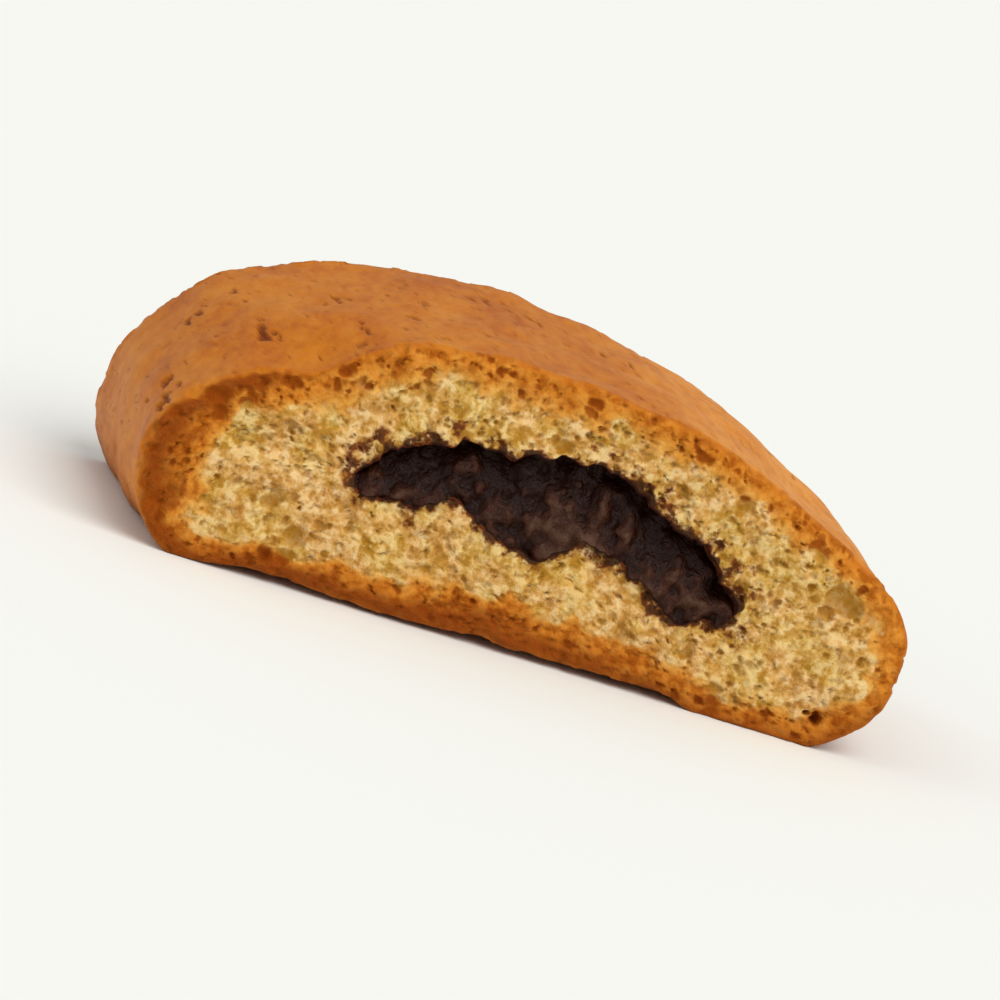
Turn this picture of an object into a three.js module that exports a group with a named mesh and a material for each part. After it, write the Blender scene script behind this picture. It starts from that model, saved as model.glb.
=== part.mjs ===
// A filled soft biscuit: one slice cut on the bias from a baked log of dough that is wrapped round a ribbon
// of dark fruit filling. Millimetres, +Z up. X runs along the slice, from its steep blunt end to its long
// sloping end, and Y into its thickness, so the cut that faces -Y is the front. The origin is on the plane it
// stands on, below the middle of the slice.
import * as THREE from "three";

// Driving dimensions of the slice
const THICKNESS = 30;
const HALF = THICKNESS / 2;
const BIAS = -0.15; // sideways run of the log for each millimetre towards the back

// The dome of the log's section, from the right tip over the top to the left tip
const DOME = [
  { x: 36.2, z: 8.5 },
  { x: 35.8, z: 12.5 },
  { x: 32.4, z: 16.5 },
  { x: 26.7, z: 19.4 },
  { x: 19.4, z: 23.2 },
  { x: 11.8, z: 25.4 },
  { x: 3.7, z: 26.3 },
  { x: -5.2, z: 26.9 },
  { x: -14.2, z: 26.1 },
  { x: -21.7, z: 24.3 },
  { x: -28.3, z: 20.9 },
  { x: -32.6, z: 16.7 },
  { x: -35.7, z: 12 },
  { x: -36.3, z: 7 },
];

// Its underside: a rounded corner at each end, and a bed that arches between a heel and a foot
const CORNER_LEFT = 5.5; // length of the round below the tip
const CORNER_RIGHT = 9;
const ARCH = { height: 1, left: -30, right: 22, ramp: 7 };
const PRESS = 0.3; // lumps that stick out less than this below the section are baked flat

// The cut edges and the slumped shoulder at the front
const EDGE_ROUND = 0.7;
const SHOULDER = { x: -24.7, depth: 2.3, spread: 6, reach: 7, rise: 13 };

// Uneven baking and crumb, as lump size and height
const CRUST_LUMPS = [
  { size: 11, height: 0.5 },
  { size: 4.5, height: 0.28 },
];
const CRUMB_LUMPS = [
  { size: 9, height: 0.45 },
  { size: 3.2, height: 0.42 },
];

// The ribbon of filling at the front cut: the height of its upper and lower edge along X
const RIBBON = [
  { x: -16.6, upper: 13.2, lower: 10.9 },
  { x: -14.8, upper: 15.5, lower: 10.7 },
  { x: -11.2, upper: 17, lower: 11.3 },
  { x: -7.8, upper: 17.9, lower: 12.2 },
  { x: -4.4, upper: 17.9, lower: 10.7 },
  { x: -0.6, upper: 19, lower: 9.7 },
  { x: 2.2, upper: 19.5, lower: 10.6 },
  { x: 4.6, upper: 20, lower: 12.4 },
  { x: 8, upper: 18.4, lower: 12 },
  { x: 11.2, upper: 16.7, lower: 10.1 },
  { x: 14.4, upper: 15.8, lower: 8.1 },
  { x: 17.4, upper: 13, lower: 8.6 },
  { x: 19.6, upper: 10.6, lower: 9.3 },
];
const RIBBON_RISE = { height: 1.1, length: 12 }; // how the ribbon rises and sinks again behind the front cut
const RIBBON_WAVES = { size: 3.2, height: 0.4 }; // its ragged edge
const CLEARANCE = 0.3; // between filling and dough
const FILLING_RECESS = 0.35; // the filling lies this far below the cut

// Finish
const BAKED_DOUGH = { color: "#c07a38", roughness: 0.8 };
const BERRY_PASTE = { color: "#2c1a17", roughness: 0.35 };

// Mesh density
const ROUND_STEPS = 112; // round the section, and round the ribbon
const CRUST_ROWS = 19;
const CUT_RINGS = 9;
const RIBBON_ROWS = 9;
const FILLING_END_ROWS = 3;
const OUTLINE_SAMPLES = 240;
const CORNER_SAMPLES = 40;

const mix = (a, b, share) => a + (b - a) * share;
const smooth = (share) => share * share * (3 - 2 * share);

// A number from -1 to 1 that belongs to one corner of the noise lattice.
function cornerValue(ix, iy, iz) {
  let h = Math.imul(ix, 374761393) ^ Math.imul(iy, 668265263) ^ Math.imul(iz, 1442695041);
  h = Math.imul(h ^ (h >>> 13), 1274126177);
  h = Math.imul(h ^ (h >>> 15), 1597334677);
  return ((h ^ (h >>> 16)) >>> 0) / 2147483648 - 1;
}

// Smooth lumps from -1 to 1, with one lattice corner for each length of size.
function lumps(x, y, z, size) {
  const at = [x / size, y / size, z / size];
  const low = at.map(Math.floor);
  const share = at.map((value, k) => smooth(value - low[k]));
  const corner = (dx, dy, dz) => cornerValue(low[0] + dx, low[1] + dy, low[2] + dz);
  const alongX = (dy, dz) => mix(corner(0, dy, dz), corner(1, dy, dz), share[0]);
  const alongY = (dz) => mix(alongX(0, dz), alongX(1, dz), share[1]);
  return mix(alongY(0), alongY(1), share[2]);
}

const layered = (x, y, z, layers) =>
  layers.reduce((sum, { size, height }) => sum + height * lumps(x, y, z, size), 0);

// Points spaced evenly along an open line, from its first point up to but not including its last.
function spaced(line, count) {
  const run = [0];
  for (let k = 1; k < line.length; k++) {
    run.push(run[k - 1] + line[k].distanceTo(line[k - 1]));
  }
  const points = [];
  let k = 0;
  for (let i = 0; i < count; i++) {
    const wanted = (run[run.length - 1] * i) / count;
    while (run[k + 1] < wanted) k++;
    points.push(line[k].clone().lerp(line[k + 1], (wanted - run[k]) / (run[k + 1] - run[k])));
  }
  return points;
}

// A smooth line through stations.
const lineThrough = (stations) => new THREE.SplineCurve(stations).getPoints(OUTLINE_SAMPLES);

// The dome of the section, from the right tip over the top to the left tip.
const domeLine = () => lineThrough(DOME.map(({ x, z }) => new THREE.Vector2(x, z)));

// How far the underside arches up from the plane it stands on.
function archAt(x) {
  const ramp = (run) => smooth(THREE.MathUtils.clamp(run / ARCH.ramp, 0, 1));
  return ARCH.height * ramp(x - ARCH.left) * ramp(ARCH.right - x);
}

// The underside of the section, from the left tip round the corner and along the bed to the right tip.
function bedLine() {
  const tips = { right: DOME[0], left: DOME[DOME.length - 1] };
  const line = [];
  for (let k = 0; k < CORNER_SAMPLES; k++) {
    const angle = (Math.PI / 2) * (k / CORNER_SAMPLES);
    const x = tips.left.x + CORNER_LEFT * (1 - Math.cos(angle));
    line.push(new THREE.Vector2(x, tips.left.z * (1 - Math.sin(angle))));
  }
  const bedLeft = tips.left.x + CORNER_LEFT;
  const bedRight = tips.right.x - CORNER_RIGHT;
  for (let k = 0; k <= OUTLINE_SAMPLES; k++) {
    const x = mix(bedLeft, bedRight, k / OUTLINE_SAMPLES);
    line.push(new THREE.Vector2(x, archAt(x)));
  }
  for (let k = CORNER_SAMPLES - 1; k >= 0; k--) {
    const angle = (Math.PI / 2) * (k / CORNER_SAMPLES);
    const x = tips.right.x - CORNER_RIGHT * (1 - Math.cos(angle));
    line.push(new THREE.Vector2(x, tips.right.z * (1 - Math.sin(angle))));
  }
  return line;
}

// One edge of the ribbon as a smooth line through its stations, from left to right.
function ribbonLine(edge) {
  const stations = RIBBON.map((station) => new THREE.Vector2(station.x, station[edge]));
  const first = RIBBON[0];
  const last = RIBBON[RIBBON.length - 1];
  stations.unshift(new THREE.Vector2(first.x - CLEARANCE, (first.upper + first.lower) / 2));
  stations.push(new THREE.Vector2(last.x + CLEARANCE, (last.upper + last.lower) / 2));
  return lineThrough(stations);
}

// A closed outline of two halves, each with its own even spacing: over the top from right to left, and back below.
const outlineOf = (upper, lower) => [...spaced(upper, ROUND_STEPS / 2), ...spaced(lower, ROUND_STEPS / 2)];

// Each point's outward direction in a closed outline that runs anticlockwise.
function outwardOf(outline) {
  return outline.map((point, i) => {
    const before = outline[(i + outline.length - 1) % outline.length];
    const after = outline[(i + 1) % outline.length];
    const along = after.clone().sub(before).normalize();
    return new THREE.Vector2(along.y, -along.x);
  });
}

// How far the baked skin stands out from the plain section at a point.
function skinRelief(x, y, z) {
  const fromFront = (y + HALF) / SHOULDER.reach;
  const fromShoulder = (x - BIAS * y - SHOULDER.x) / SHOULDER.spread;
  const upper = smooth(Math.min(1, z / SHOULDER.rise));
  const slump = SHOULDER.depth * upper * Math.exp(-(fromShoulder ** 2) - fromFront ** 2);
  return layered(x, y, z, CRUST_LUMPS) - slump;
}

// The outer skin at depth y, drawn in by inset at the rounded cut edges. Below, its lumps are baked flat.
function skinRing(section, outward, y, inset) {
  return section.map((point, i) => {
    const x = point.x + BIAS * y;
    const relief = skinRelief(x, y, point.y) - inset;
    const press = PRESS * Math.max(0, -outward[i].y) ** 4;
    const z = point.y + relief * outward[i].y - press;
    return new THREE.Vector3(x + relief * outward[i].x, y, Math.max(0, z));
  });
}

// The ribbon's outline at depth y, drawn in by inset all round.
function ribbonRing(ribbon, outward, y, inset) {
  const rise = RIBBON_RISE.height * Math.sin((y + HALF) / RIBBON_RISE.length);
  return ribbon.map((point, i) => {
    const ragged = RIBBON_WAVES.height * lumps(point.x, y, point.y, RIBBON_WAVES.size) - inset;
    return new THREE.Vector3(
      point.x + BIAS * y + ragged * outward[i].x,
      y,
      point.y + rise + ragged * outward[i].y,
    );
  });
}

// How far a cut stands out from its own plane at a point.
const cutRelief = (point) => layered(point.x, point.y, point.z, CRUMB_LUMPS);

// Rings across one cut, from the skin's edge to the ribbon's.
function cutRings(skin, hole, side) {
  const rings = [];
  for (let k = 1; k < CUT_RINGS; k++) {
    rings.push(
      skin.map((edge, i) => {
        const point = edge.clone().lerp(hole[i], k / CUT_RINGS);
        point.y = side * (HALF + cutRelief(point));
        return point;
      }),
    );
  }
  return rings;
}

// A mesh from a list of points and a list of four-cornered faces.
function meshFromQuads(name, points, quads, finish) {
  const geometry = new THREE.BufferGeometry().setFromPoints(points);
  const triangles = quads.flatMap(([a, b, c, d]) => [
    [a, b, c],
    [a, c, d],
  ]);
  geometry.setIndex(triangles.filter((triangle) => new Set(triangle).size === 3).flat());
  geometry.computeVertexNormals();
  const mesh = new THREE.Mesh(geometry, new THREE.MeshStandardMaterial(finish));
  mesh.name = name;
  return mesh;
}

// The faces between successive rings of equal length. A closed stack joins its last ring to its first.
function quadsBetween(ringCount, steps, closed) {
  const quads = [];
  for (let r = 0; r < (closed ? ringCount : ringCount - 1); r++) {
    const next = (r + 1) % ringCount;
    for (let i = 0; i < steps; i++) {
      const beside = (i + 1) % steps;
      quads.push([r * steps + i, next * steps + i, next * steps + beside, r * steps + beside]);
    }
  }
  return quads;
}

// The dough: its skin from front to back, the back cut, the tunnel that holds the filling, and the front cut.
function makeDough(ribbon, ribbonOutward) {
  const section = outlineOf(domeLine(), bedLine());
  const outward = outwardOf(section);
  const rings = [];
  for (let k = 0; k <= CRUST_ROWS; k++) {
    rings.push(skinRing(section, outward, mix(EDGE_ROUND - HALF, HALF - EDGE_ROUND, k / CRUST_ROWS), 0));
  }
  const rims = [-1, 1].map((side) => {
    const skin = skinRing(section, outward, side * HALF, EDGE_ROUND);
    const hole = ribbonRing(ribbon, ribbonOutward, side * HALF, 0);
    return { skin, hole, rings: cutRings(skin, hole, side) };
  });
  rings.push(rims[1].skin, ...rims[1].rings);
  for (let k = 0; k <= RIBBON_ROWS; k++) {
    rings.push(ribbonRing(ribbon, ribbonOutward, mix(HALF, -HALF, k / RIBBON_ROWS), 0));
  }
  rings.push(...rims[0].rings.reverse(), rims[0].skin);
  return meshFromQuads("dough", rings.flat(), quadsBetween(rings.length, ROUND_STEPS, true), BAKED_DOUGH);
}

// The filling: the ribbon itself, from cut to cut, with an uneven end in each.
function makeFilling(ribbon, ribbonOutward) {
  const reach = HALF - FILLING_RECESS;
  const rings = [];
  for (let k = 0; k <= RIBBON_ROWS; k++) {
    const y = THREE.MathUtils.clamp(mix(-HALF, HALF, k / RIBBON_ROWS), -reach, reach);
    rings.push(ribbonRing(ribbon, ribbonOutward, y, CLEARANCE));
  }
  const points = rings.flat();
  const quads = quadsBetween(rings.length, ROUND_STEPS, false);
  for (const side of [-1, 1]) {
    const first = side < 0 ? 0 : RIBBON_ROWS * ROUND_STEPS;
    quads.push(...endQuads(endColumns(points, first, side), side));
  }
  return meshFromQuads("filling", points, quads, BERRY_PASTE);
}

// Columns of points across one end of the ribbon, each from its upper edge to the point of the lower edge below.
function endColumns(points, first, side) {
  const columns = [];
  for (let c = 0; c <= ROUND_STEPS / 2; c++) {
    const top = first + c;
    const bottom = first + ((ROUND_STEPS - c) % ROUND_STEPS);
    const column = [top];
    if (top !== bottom) {
      for (let k = 1; k < FILLING_END_ROWS; k++) {
        const point = points[top].clone().lerp(points[bottom], k / FILLING_END_ROWS);
        point.y += side * cutRelief(point);
        column.push(points.push(point) - 1);
      }
      column.push(bottom);
    }
    columns.push(column);
  }
  return columns;
}

// The faces across one end of the ribbon, whose first and last columns are single points.
function endQuads(columns, side) {
  const quads = [];
  const rowOf = (column, k) => column[Math.min(k, column.length - 1)];
  for (let c = 0; c + 1 < columns.length; c++) {
    for (let k = 0; k < FILLING_END_ROWS; k++) {
      const quad = [
        rowOf(columns[c], k),
        rowOf(columns[c], k + 1),
        rowOf(columns[c + 1], k + 1),
        rowOf(columns[c + 1], k),
      ];
      quads.push(side > 0 ? quad : quad.reverse());
    }
  }
  return quads;
}

const ribbon = outlineOf(ribbonLine("upper").reverse(), ribbonLine("lower"));
const ribbonOutward = outwardOf(ribbon);
const biscuit = new THREE.Group();
biscuit.add(makeDough(ribbon, ribbonOutward), makeFilling(ribbon, ribbonOutward));

export default biscuit;
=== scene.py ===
# A slice of filled soft biscotti, dressed for rendering: baked dough with its crust, crumb and pores, and
# a ribbon of berry paste. Shapes are worked out in millimetres, with the values of the part's own source,
# and made in metres.
import math

import bpy
import numpy as np
from mathutils import Matrix, Vector


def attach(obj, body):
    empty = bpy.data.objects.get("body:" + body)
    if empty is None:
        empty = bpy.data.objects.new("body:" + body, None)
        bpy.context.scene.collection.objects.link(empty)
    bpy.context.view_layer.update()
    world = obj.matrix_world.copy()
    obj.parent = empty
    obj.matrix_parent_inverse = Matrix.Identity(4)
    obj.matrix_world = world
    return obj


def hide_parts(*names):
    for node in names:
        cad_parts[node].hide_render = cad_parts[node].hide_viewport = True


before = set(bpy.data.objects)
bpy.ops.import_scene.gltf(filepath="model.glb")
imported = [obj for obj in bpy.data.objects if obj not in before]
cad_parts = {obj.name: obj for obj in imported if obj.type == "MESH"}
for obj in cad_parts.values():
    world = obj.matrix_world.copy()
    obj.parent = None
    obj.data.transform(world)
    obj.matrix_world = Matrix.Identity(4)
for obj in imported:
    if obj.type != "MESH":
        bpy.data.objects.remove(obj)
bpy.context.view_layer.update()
MM = 0.001

# The slice, as in the part's source
THICKNESS = 30.0
HALF = THICKNESS / 2
BIAS = -0.15  # sideways run of the log for each millimetre towards the back
DOME = (  # x and height, from the right tip over the top to the left tip
    (36.2, 8.5),
    (35.8, 12.5),
    (32.4, 16.5),
    (26.7, 19.4),
    (19.4, 23.2),
    (11.8, 25.4),
    (3.7, 26.3),
    (-5.2, 26.9),
    (-14.2, 26.1),
    (-21.7, 24.3),
    (-28.3, 20.9),
    (-32.6, 16.7),
    (-35.7, 12.0),
    (-36.3, 7.0),
)
CORNER_LEFT, CORNER_RIGHT = 5.5, 9.0  # length of the rounds below the tips
ARCH_HEIGHT, ARCH_RAMP = 1.0, 7.0
ARCH_LEFT, ARCH_RIGHT = -30.0, 22.0
PRESS, PRESS_SHARPNESS = 0.3, 4  # the underside is pressed down by this much, and is flat on its plane
SHOULDER_X, SHOULDER_DEPTH = -24.7, 2.3  # the slump at the upper left of the front
SHOULDER_SPREAD, SHOULDER_REACH, SHOULDER_RISE = 6.0, 7.0, 13.0  # along x, towards the back, and upwards
RIBBON = (  # x, height of the upper edge, height of the lower edge
    (-16.6, 13.2, 10.9),
    (-14.8, 15.5, 10.7),
    (-11.2, 17.0, 11.3),
    (-7.8, 17.9, 12.2),
    (-4.4, 17.9, 10.7),
    (-0.6, 19.0, 9.7),
    (2.2, 19.5, 10.6),
    (4.6, 20.0, 12.4),
    (8.0, 18.4, 12.0),
    (11.2, 16.7, 10.1),
    (14.4, 15.8, 8.1),
    (17.4, 13.0, 8.6),
    (19.6, 10.6, 9.3),
)
RIBBON_TIP = 0.3  # its tips lie this far past its first and last x
RISE_HEIGHT, RISE_LENGTH = 1.1, 12.0  # how the ribbon rises and sinks again behind the front cut

# The scramble that gives each lattice corner of the noise its number, as in the part's source
CORNER_FACTORS = (374761393, 668265263, 1442695041)
SCRAMBLES = ((13, 1274126177), (15, 1597334677))  # shift and factor
LAST_SHIFT = 16
HALF_RANGE = 2147483648.0

# Relief as layers of lumps, each with its size, its height and a shift that keeps it apart from the others.
# The first three are those of the part's source.
CRUST_LUMPS = ((11.0, 0.5, 0.0), (4.5, 0.28, 0.0))
CRUMB_LUMPS = ((9.0, 0.45, 0.0), (3.2, 0.42, 0.0))
RIBBON_WAVES = ((3.2, 0.4, 0.0),)
SKIN_GRAIN = ((1.7, 0.06, 0.0), (0.8, 0.035, 0.0))
CRUMB_GRAIN = ((1.5, 0.2, 2.7), (0.75, 0.13, 2.7), (0.42, 0.05, 2.7))
RAGGED_GRAIN = ((1.5, 0.5, 1.6), (0.7, 0.32, 1.6))
CHIPS_GRAIN = ((1.5, 0.6, 4.9), (0.7, 0.5, 4.9))
PASTE_GRAIN = ((2.8, 0.5, 7.7), (1.4, 0.62, 7.7), (0.7, 0.3, 7.7))

# Mesh density of the dressed pieces
UPPER_STEPS, LOWER_STEPS = 430, 250
ROUND_STEPS = UPPER_STEPS + LOWER_STEPS
CRUST_ROWS, TUNNEL_ROWS = 42, 3
CRUST_INSET, TUNNEL_INSET = 0.9, 3.0  # how far the first of these rows lies behind the cut
FRONT_RINGS, BACK_RINGS = 72, 26
OUTLINE_SAMPLES, CORNER_SAMPLES = 240, 40
EDGE_CROWDING = 1.05  # over 1, the rings of a cut lie closer together near the skin
PASTE_STEPS, PASTE_END_ROWS, PASTE_ROWS = 330, 44, 8
# The tunnel's points crowd at its two ends, so that the cuts fan out evenly. Each pair is a share of the
# points and of the way.
RIBBON_SPREAD_ABOVE = ((0, 0), (0.08, 0.03), (0.2, 0.16), (0.66, 0.93), (0.78, 0.98), (1, 1))
RIBBON_SPREAD_BELOW = ((0, 0), (0.16, 0.03), (0.28, 0.1), (0.72, 0.9), (0.86, 0.98), (1, 1))

# Fine cracks lie where these two noises are near zero together
CRACK_LINES = ((3.4, 1.0, 5.5), (1.3, 0.4, 9.5))
CRACK_WIDTH, CRACK_DEPTH = 0.1, 0.1  # the noises' sum at a crack's edge, and the depth in its middle

# The outer edge of a cut is rounded and chipped
ROUNDING, ROUNDING_LEAST, ROUNDING_MOST = 0.5, 0.15, 0.8
ROUNDING_NOISE = ((2.6, 0.25, 3.3), (0.9, 0.2, 8.1))
CHIPS_LEAST = 0.1  # shallower chips are left out
CHIPS_MOST = {-1: 0.5, 1: 0.12}  # at the front and at the back
CHIPS_ABOVE = 1.0  # chips fade out below this height
# Relief of a cut fades towards the skin and the paste: share there, and distances where it starts and ends
LUMPS_AT_SKIN = (0.0, 0.0, 1.2)
GRAIN_AT_SKIN = (0.3, 0.0, 1.2)
PORES_AT_SKIN = (0.6, 0.1, 1.0)
PORES_AT_PASTE = (0.3, 0.1, 0.8)

# The ends of the paste
PASTE_OVERLAP = 0.14  # it reaches this far into the dough, so that no gap shows
PASTE_PROUD = 0.1  # its lower edge stands this far out of the cut
PASTE_SINK, PASTE_SINK_FADE = 2.6, 1.6  # how deep its upper edge lies in the cut, and how fast that fades
SUNK_PAINTED_SHADE = 0.4  # painted shade: how much lower its colour takes it to be for each millimetre that it is sunken
PASTE_HIDDEN = -1.0  # the height that stands for its hidden sides

# How far the browning runs in from the skin, as x and width
BROWNED_ABOVE = (
    *((-36, 6.4), (-30, 6.0), (-25, 4.6), (-15, 4.0), (-3, 4.4)),
    *((10, 4.0), (20, 4.3), (27, 3.8), (32, 2.6), (36, 3.4)),
)
BROWNED_BELOW = ((-36, 6.4), (-30, 5.0), (-22, 4.4), (0, 5.2), (20, 4.2), (36, 4.0))
BROWNING_NOISE = ((4.2, 0.5, 6.2), (1.6, 0.4, 1.9))
BROWNING_LEAST = 0.3
SIDE_BLEND = (-0.3, 0.3)  # where the outward slope turns from below to above

# The dough below its skin is baked more at the bottom, though less so towards the right, and at its
# blunt end
BAKED_BELOW = 1.3
LESS_BELOW, LESS_BELOW_FROM = 0.9, (-5, 20)
BAKED_END, BAKED_END_FADES = 1.1, (-34, -22)
# Its skin is paler on the long slope where it faces up, from and to which x and outward slope
PALE_SLOPE = 0.6
PALE_FROM, PALE_FACING = (2, 16), (0.1, 0.6)

# The skin's rim on a cut, and the stain round the paste
RIM_WIDTH, RIM_NOISE = 0.3, ((1.2, 1.0, 7.1),)
STAIN_WIDTH, STAIN_NOISE = 1.4, ((1.7, 1.2, 4.4),)
STAIN_FADE = 1.5  # over 1, the stain stays strong beside the paste and then fades faster
WIDTH_LEAST = 0.2
RUST_BROWNING = (0.0, 0.25)  # holes are rusty only where the dough is browned
SOLE_FACING, SOLE_REACH = (0.25, 0.8), 1.6  # the underside's outward slope, and how far its tint runs in
PORE_DARK, PIT_DARK, CRACK_DARK = 0.5, 0.22, 0.2  # depths at which the painted shade in pores, pits and cracks is darkest

# Pores in the cuts and pits in the crust: how many, radius from and to, depth for each radius, bowls in
# each, and the share that is rusty
CRUMB_PORES = (
    (24, 0.5, 0.8, 0.9, 3, 0.6),
    (520, 0.34, 0.6, 1.0, 2, 0.35),
    (2600, 0.2, 0.36, 1.1, 1, 0.1),
)
CRUST_PITS = ((14, 0.4, 0.62, 0.7, 3, 0), (110, 0.24, 0.4, 0.7, 2, 0), (700, 0.12, 0.24, 0.8, 1, 0))
PIT_STRETCH = 2.0  # pits are stretched by this factor along the log
PORES_PAST_TIPS, PORES_TOP = 3, 28  # the pores' field reaches this far past the tips, and this high
PITS_SEED, FRONT_SEED, BACK_SEED = 3, 11, 12

# A placed hollow is a cluster of this many bowls, which lie further apart than those of a strewn one
PLACED_BOWLS = 4
PLACED_SPREAD, BOWL_SPREAD = 0.62, 0.42
RADIUS_LEANING = 1.6  # over 1, more of the radii are small
# How the bowls differ, as shares from and to
BOWL_RADII = (0.4, 0.9)
BOWL_DEPTHS = (0.6, 1.2)
BOWL_WIDTHS = (0.6, 1.0)
BOWL_PROFILE = 0.6  # under 1, a bowl's wall is steeper and its floor flatter
BOWL_WARPS = (((1.1, 0.25, 3.3), (0.5, 0.16, 3.3)), ((1.1, 0.25, 8.8), (0.5, 0.16, 8.8)))

# The front's largest holes, as x, height, radius, depth and whether rusty
FRONT_HOLES = (
    (-35.0, 4.5, 1.4, 0.9, 1),
    (-33.5, 3.0, 1.0, 0.7, 1),
    (-34.5, 8.5, 0.8, 0.5, 1),
    (-32.5, 9.0, 0.8, 0.5, 1),
    (-35.0, 13.0, 1.0, 0.5, 1),
    (-31.5, 15.0, 1.3, 0.7, 1),
    (-29.0, 16.5, 1.3, 0.7, 1),
    (-25.5, 18.5, 0.8, 0.5, 1),
    (-21.5, 21.0, 1.1, 0.6, 1),
    (-13.5, 23.0, 0.9, 0.5, 1),
    (-7.0, 25.0, 1.0, 0.5, 1),
    (1.0, 24.8, 0.9, 0.5, 1),
    (12.5, 23.2, 0.9, 0.5, 1),
    (17.5, 20.0, 1.1, 0.6, 1),
    (25.5, 18.5, 1.1, 0.5, 1),
    (30.0, 15.5, 0.8, 0.5, 1),
    (29.5, 3.0, 0.8, 2.4, 1),
    (20.0, 2.0, 1.3, 0.6, 1),
    (6.5, 2.0, 0.8, 0.5, 1),
    (-7.0, 2.5, 0.8, 0.5, 1),
    (-22.0, 3.5, 1.3, 0.7, 1),
    (28.5, 13.0, 1.6, 0.9, 0),
    (22.5, 12.5, 0.9, 0.6, 0),
    (10.5, 5.0, 0.8, 0.5, 0),
    (0.0, 21.3, 1.0, 0.6, 0),
    (-19.0, 6.5, 0.8, 0.6, 0),
    (-24.0, 14.5, 0.9, 0.6, 0),
    (-23.5, 8.5, 1.0, 0.7, 0),
)
# The largest pits in the crust, as x in the section, y, radius and depth
CRUST_SPOTS = (
    (-35.2, -11.4, 0.8, 0.5),
    (-34.8, -7.8, 0.65, 0.5),
    (-32.0, 4.4, 0.5, 0.35),
    (-31.1, 5.2, 0.55, 0.35),
    (-27.8, -6.0, 0.65, 0.5),
    (-20.2, 1.1, 0.6, 0.4),
    (-14.3, -5.1, 0.45, 0.2),
    (-12.9, 1.0, 0.5, 0.25),
    (-5.2, 7.8, 0.5, 0.3),
    (-0.8, 6.4, 0.5, 0.3),
)

# Colours in sRGB, from dark to light where there are three, with their places on a noise
# The crumb's darker tones also paint shade where the bump grain is low
CRUMB_PLACES = (0.34, 0.5, 0.62)
YELLOW_CRUMB = ((176, 128, 40), (210, 168, 88), (232, 200, 132))
PEACH_CRUMB = ((182, 128, 54), (214, 166, 98), (236, 200, 142))
GOLDEN_PLACES = (0.34, 0.5, 0.66)
GOLDEN_DOUGH = ((184, 108, 28), (218, 149, 58), (232, 176, 90))
BROWN_PLACES = (0.36, 0.48, 0.66)
BROWN_DOUGH = ((174, 94, 16), (206, 124, 34), (222, 148, 56))
DARK_DOUGH = (138, 62, 8)
# Pores darken with their depth: partly their own tone, partly painted shade
PALE_PORE_TONE_AND_SHADE, BROWN_PORE_TONE_AND_SHADE = (172, 118, 26), (176, 94, 14)
RUST = (148, 66, 4)
CRUST_PLACES = (0.36, 0.5, 0.64)
CRUST = ((180, 94, 14), (196, 112, 22), (206, 126, 34))
PALE_CRUST = ((204, 118, 28), (218, 136, 44), (228, 152, 66))
# Pits and cracks in the crust darken with their depth: partly their own tone, partly painted shade
CRUST_PIT_TONE_AND_SHADE = (116, 48, 6)
SOLE = (140, 68, 14)
THIN_SMEAR, THICK_SMEAR = (112, 52, 20), (44, 16, 8)
# The paste's darkest tone is painted shade in its hollows and sunken top, and its lightest a painted sheen
# on its lumps
PASTE_PLACES = (0.3, 0.55, 0.85)
PASTE_WITH_PAINTED_LIGHT = ((32, 9, 2), (58, 27, 12), (86, 59, 44))
FLOOR = (246, 247, 242)

# Noises of the materials, as size in millimetres, detail and roughness
MOTTLE = (1.3, 3.0, 0.55)
WARMTH = (3.5, 2.0, 0.55)
SPECKLE = (1.1, 3.0, 0.55)
BLOTCHES = (1.7, 2.0, 0.5)
GRAIN = (0.7, 4.0, 0.6)
CRUST_PATCHES = (7.0, 2.0, 0.5)
CRUST_FRECKLES = (1.3, 3.0, 0.55)
DOUGH_DUST = (0.32, 3.0, 0.6)
CLOTS = (1.1, 4.0, 0.6)
PASTE_DUST = (0.25, 2.0, 0.55)
CRUST_STRETCH = (1.0, 0.5, 1.0)  # the crust's noises are twice as long along the log

# A span says from which to which value a look comes in, an uneven how much a noise moves that value, and a
# share how strong the look is
PEACH_SPAN = (0.4, 0.6)
CRUMB_UNEVEN = 0.8
GOLDEN_SPAN = (0.0, 0.3)
BROWN_SPAN = (0.3, 0.65)
DARK_SPAN = (0.9, 1.6)
DARK_SHARE = 0.9
BAKE_UNEVEN = 0.7
PORE_SPAN = (0.1, 0.9)
PORE_SHARE = 0.65
BROWN_PORE_SPAN = (0.1, 0.6)
BLOTCH_SPAN = (0.52, 0.64)
BLOTCH_BAKE_SPAN = (0.2, 1.0)
BLOTCH_SHARE = 0.7
RUST_SPAN = (0.2, 0.8)
RUST_EDGE_SPAN = (0.0, 0.2)
RUST_UNEVEN = 1.2
RUST_SHARE = 0.75
CRUST_SPAN = (0.4, 1.0)
PATCHES_SHARE = 0.5
FRECKLES_SHARE = 0.5
PIT_SHARE = 0.8
SOLE_SHARE = 0.6
STAIN_SPAN = (0.35, 0.75)
STAIN_EDGE_SPAN = (0.0, 0.25)
STAIN_UNEVEN = 3.0
STAIN_SHARE = 0.95
SOAKED_SPAN = (0.8, 0.95)
THICK_SPAN = (0.6, 0.95)
THICK_UNEVEN = 2.0
PASTE_SPAN = (-1.0, 1.0)
PASTE_UNEVEN = 2.0

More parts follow.
